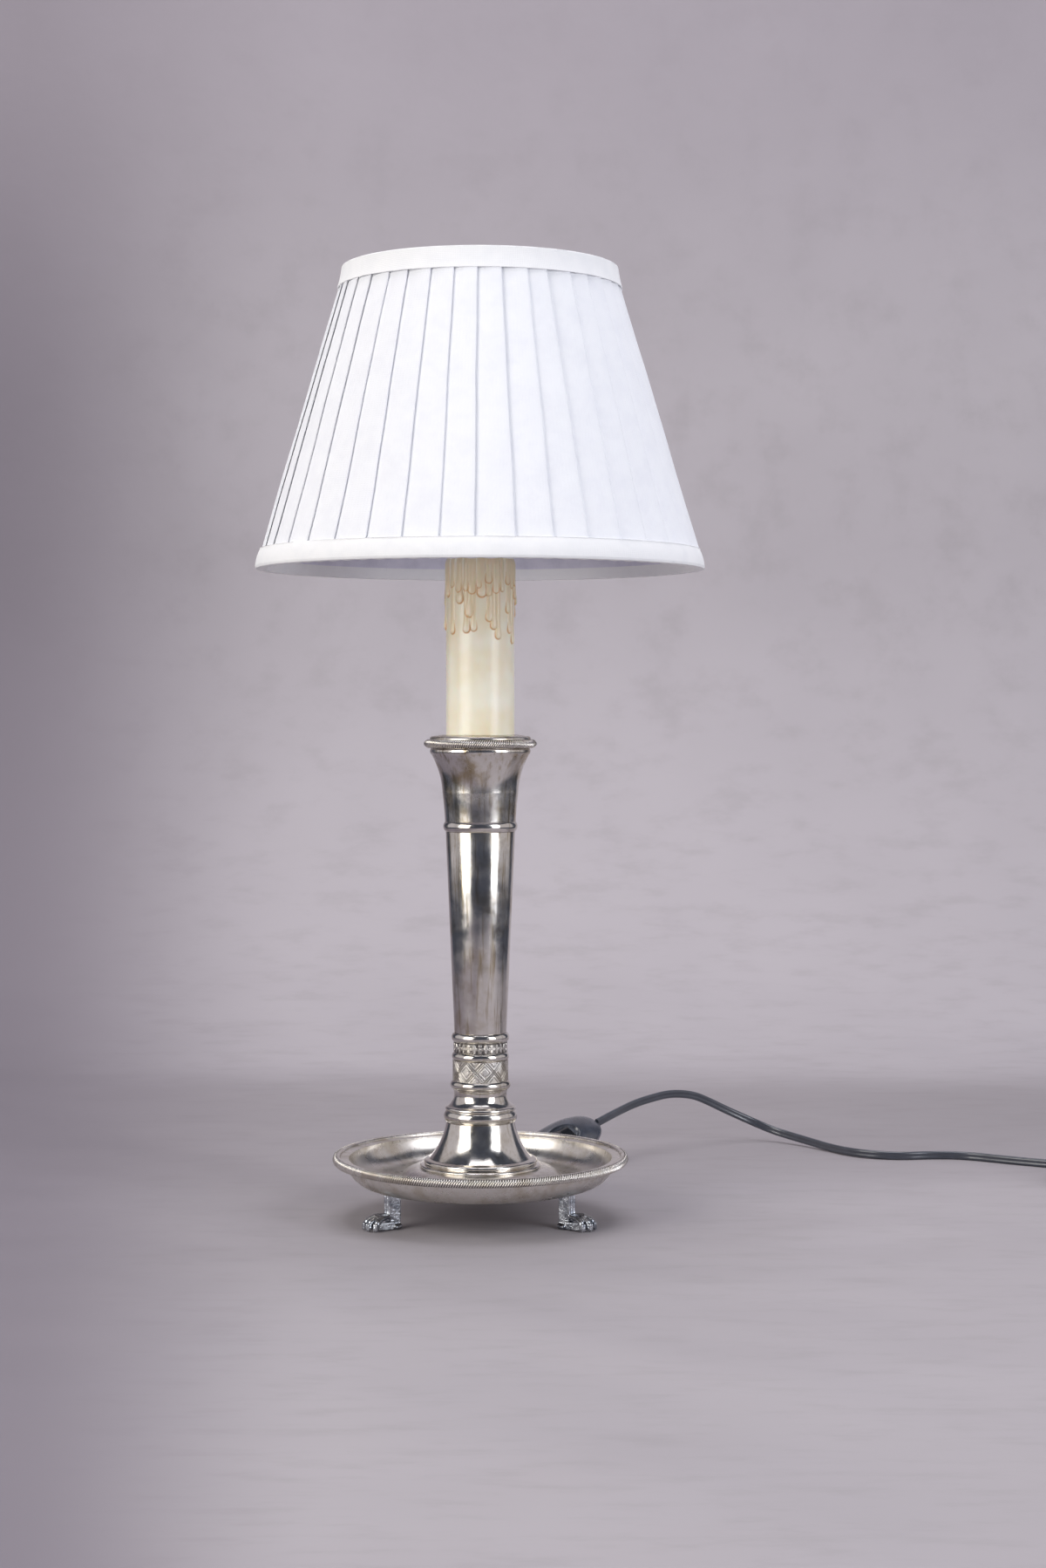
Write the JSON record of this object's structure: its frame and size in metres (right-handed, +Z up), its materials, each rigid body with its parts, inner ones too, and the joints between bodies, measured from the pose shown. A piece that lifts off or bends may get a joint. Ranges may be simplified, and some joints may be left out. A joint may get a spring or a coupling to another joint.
{
  "type": "table lamp",
  "caption": "Electric table lamp in the form of a silver candlestick on a footed dish, with a candle sleeve, clip-on pleated shade and hand switch on the lead.",
  "frame": {"origin": "on the surface the feet stand on, on the stem's axis", "axes": "+Z up the stem, -Y the front seen in the picture, +X its right side"},
  "size_m": [0.5747, 0.3854, 0.528],
  "materials": {
    "silver_plate": "worn polished silver with yellow-brown tarnish in the hollows",
    "candle_cream": "satin cream, amber in the hollows between the drips",
    "zinc_steel": "zinc plated",
    "black_nylon": "smooth",
    "holder_black": "moulded thermoset",
    "holder_white": "unglazed steatite look",
    "contact_brass": "plain",
    "bulb_glass": "opal",
    "bulb_metal": "bright",
    "bulb_black_glass": "black vitrite",
    "filament_wire": "fine drawn",
    "clip_wire": "brass-plated spring steel",
    "shade_cotton": "fine plain-weave cotton, knife pleated",
    "shade_lining": "smooth taffeta",
    "shade_wire": "white enamel",
    "shade_tape": "cotton tape",
    "switch_black": "satin moulded",
    "cord_black": "smooth flexible sheath",
    "plug_black": "moulded on the lead",
    "plug_nickel": "nickel plated"
  },
  "bodies": {
    "root": {"dish": "silver_plate", "dish_rope_border": "silver_plate", "foot_left": "silver_plate", "foot_right": "silver_plate", "foot_rear": "silver_plate", "bell_base": "silver_plate", "knop_ring": "silver_plate", "cove_neck": "silver_plate", "ring_lower": "silver_plate", "guilloche_drum": "silver_plate", "ring_middle": "silver_plate", "frieze_band": "silver_plate", "ring_upper": "silver_plate", "column": "silver_plate", "column_bead": "silver_plate", "nozzle": "silver_plate", "nozzle_rope_collar": "silver_plate", "nozzle_cover": "silver_plate", "candle_sleeve": "candle_cream", "stem_rod": "zinc_steel", "under_washer": "zinc_steel", "lock_washer": "zinc_steel", "rod_nuts": "zinc_steel", "switch_screws": "zinc_steel", "switch_pivot_pin": "zinc_steel", "cable_bush": "black_nylon", "coil_tie": "black_nylon", "holder_base": "holder_black", "holder_body": "holder_black", "holder_insulator": "holder_white", "holder_screw_shell": "contact_brass", "holder_centre_contact": "contact_brass", "holder_terminals": "contact_brass", "switch_contacts": "contact_brass", "inner_lead": "cord_black", "cord_to_switch": "cord_black", "cord_to_coil": "cord_black", "cord_coil": "cord_black", "cord_to_plug": "cord_black", "switch_case_upper": "switch_black", "switch_case_lower": "switch_black", "plug_relief": "plug_black", "plug_body": "plug_black", "plug_pins": "plug_nickel"},
    "rocker": {"switch_rocker": "switch_black"},
    "bulb": {"bulb_globe": "bulb_glass", "bulb_cap": "bulb_metal", "bulb_cap_insulator": "bulb_black_glass", "bulb_filament": "filament_wire"},
    "clip": {"clip_loops": "clip_wire", "clip_strap": "clip_wire", "clip_bracket": "clip_wire", "pivot_pin": "clip_wire", "wing_nut": "clip_wire"},
    "shade": {"shade_cover": "shade_cotton", "shade_lining": "shade_lining", "shade_wire_frame": "shade_wire", "shade_spider": "shade_wire", "shade_top_trim": "shade_tape", "shade_bottom_trim": "shade_tape"}
  },
  "joints": [
    {"name": "switch_rocker_tilt", "type": "hinge", "parent": "root", "child": "rocker", "pos_m": [0.04728, 0.14859, 0.01871], "axis": [0.6925, -0.4417, -0.5703], "range_deg": [0, 16]},
    {"name": "bulb_turn", "type": "hinge", "parent": "root", "child": "bulb", "pos_m": [0, 0, 0.345], "axis": [0, 0, 1], "range_deg": [0, 720]},
    {"name": "shade_lift", "type": "slide", "parent": "bulb", "child": "clip", "axis": [0, 0, 1], "range_m": [0, 0.065], "deforming": ["clip_loops"]},
    {"name": "shade_tilt", "type": "hinge", "parent": "clip", "child": "shade", "pos_m": [0, 0, 0.463], "axis": [0, 1, 0], "range_deg": [-12, 12]}
  ]
}
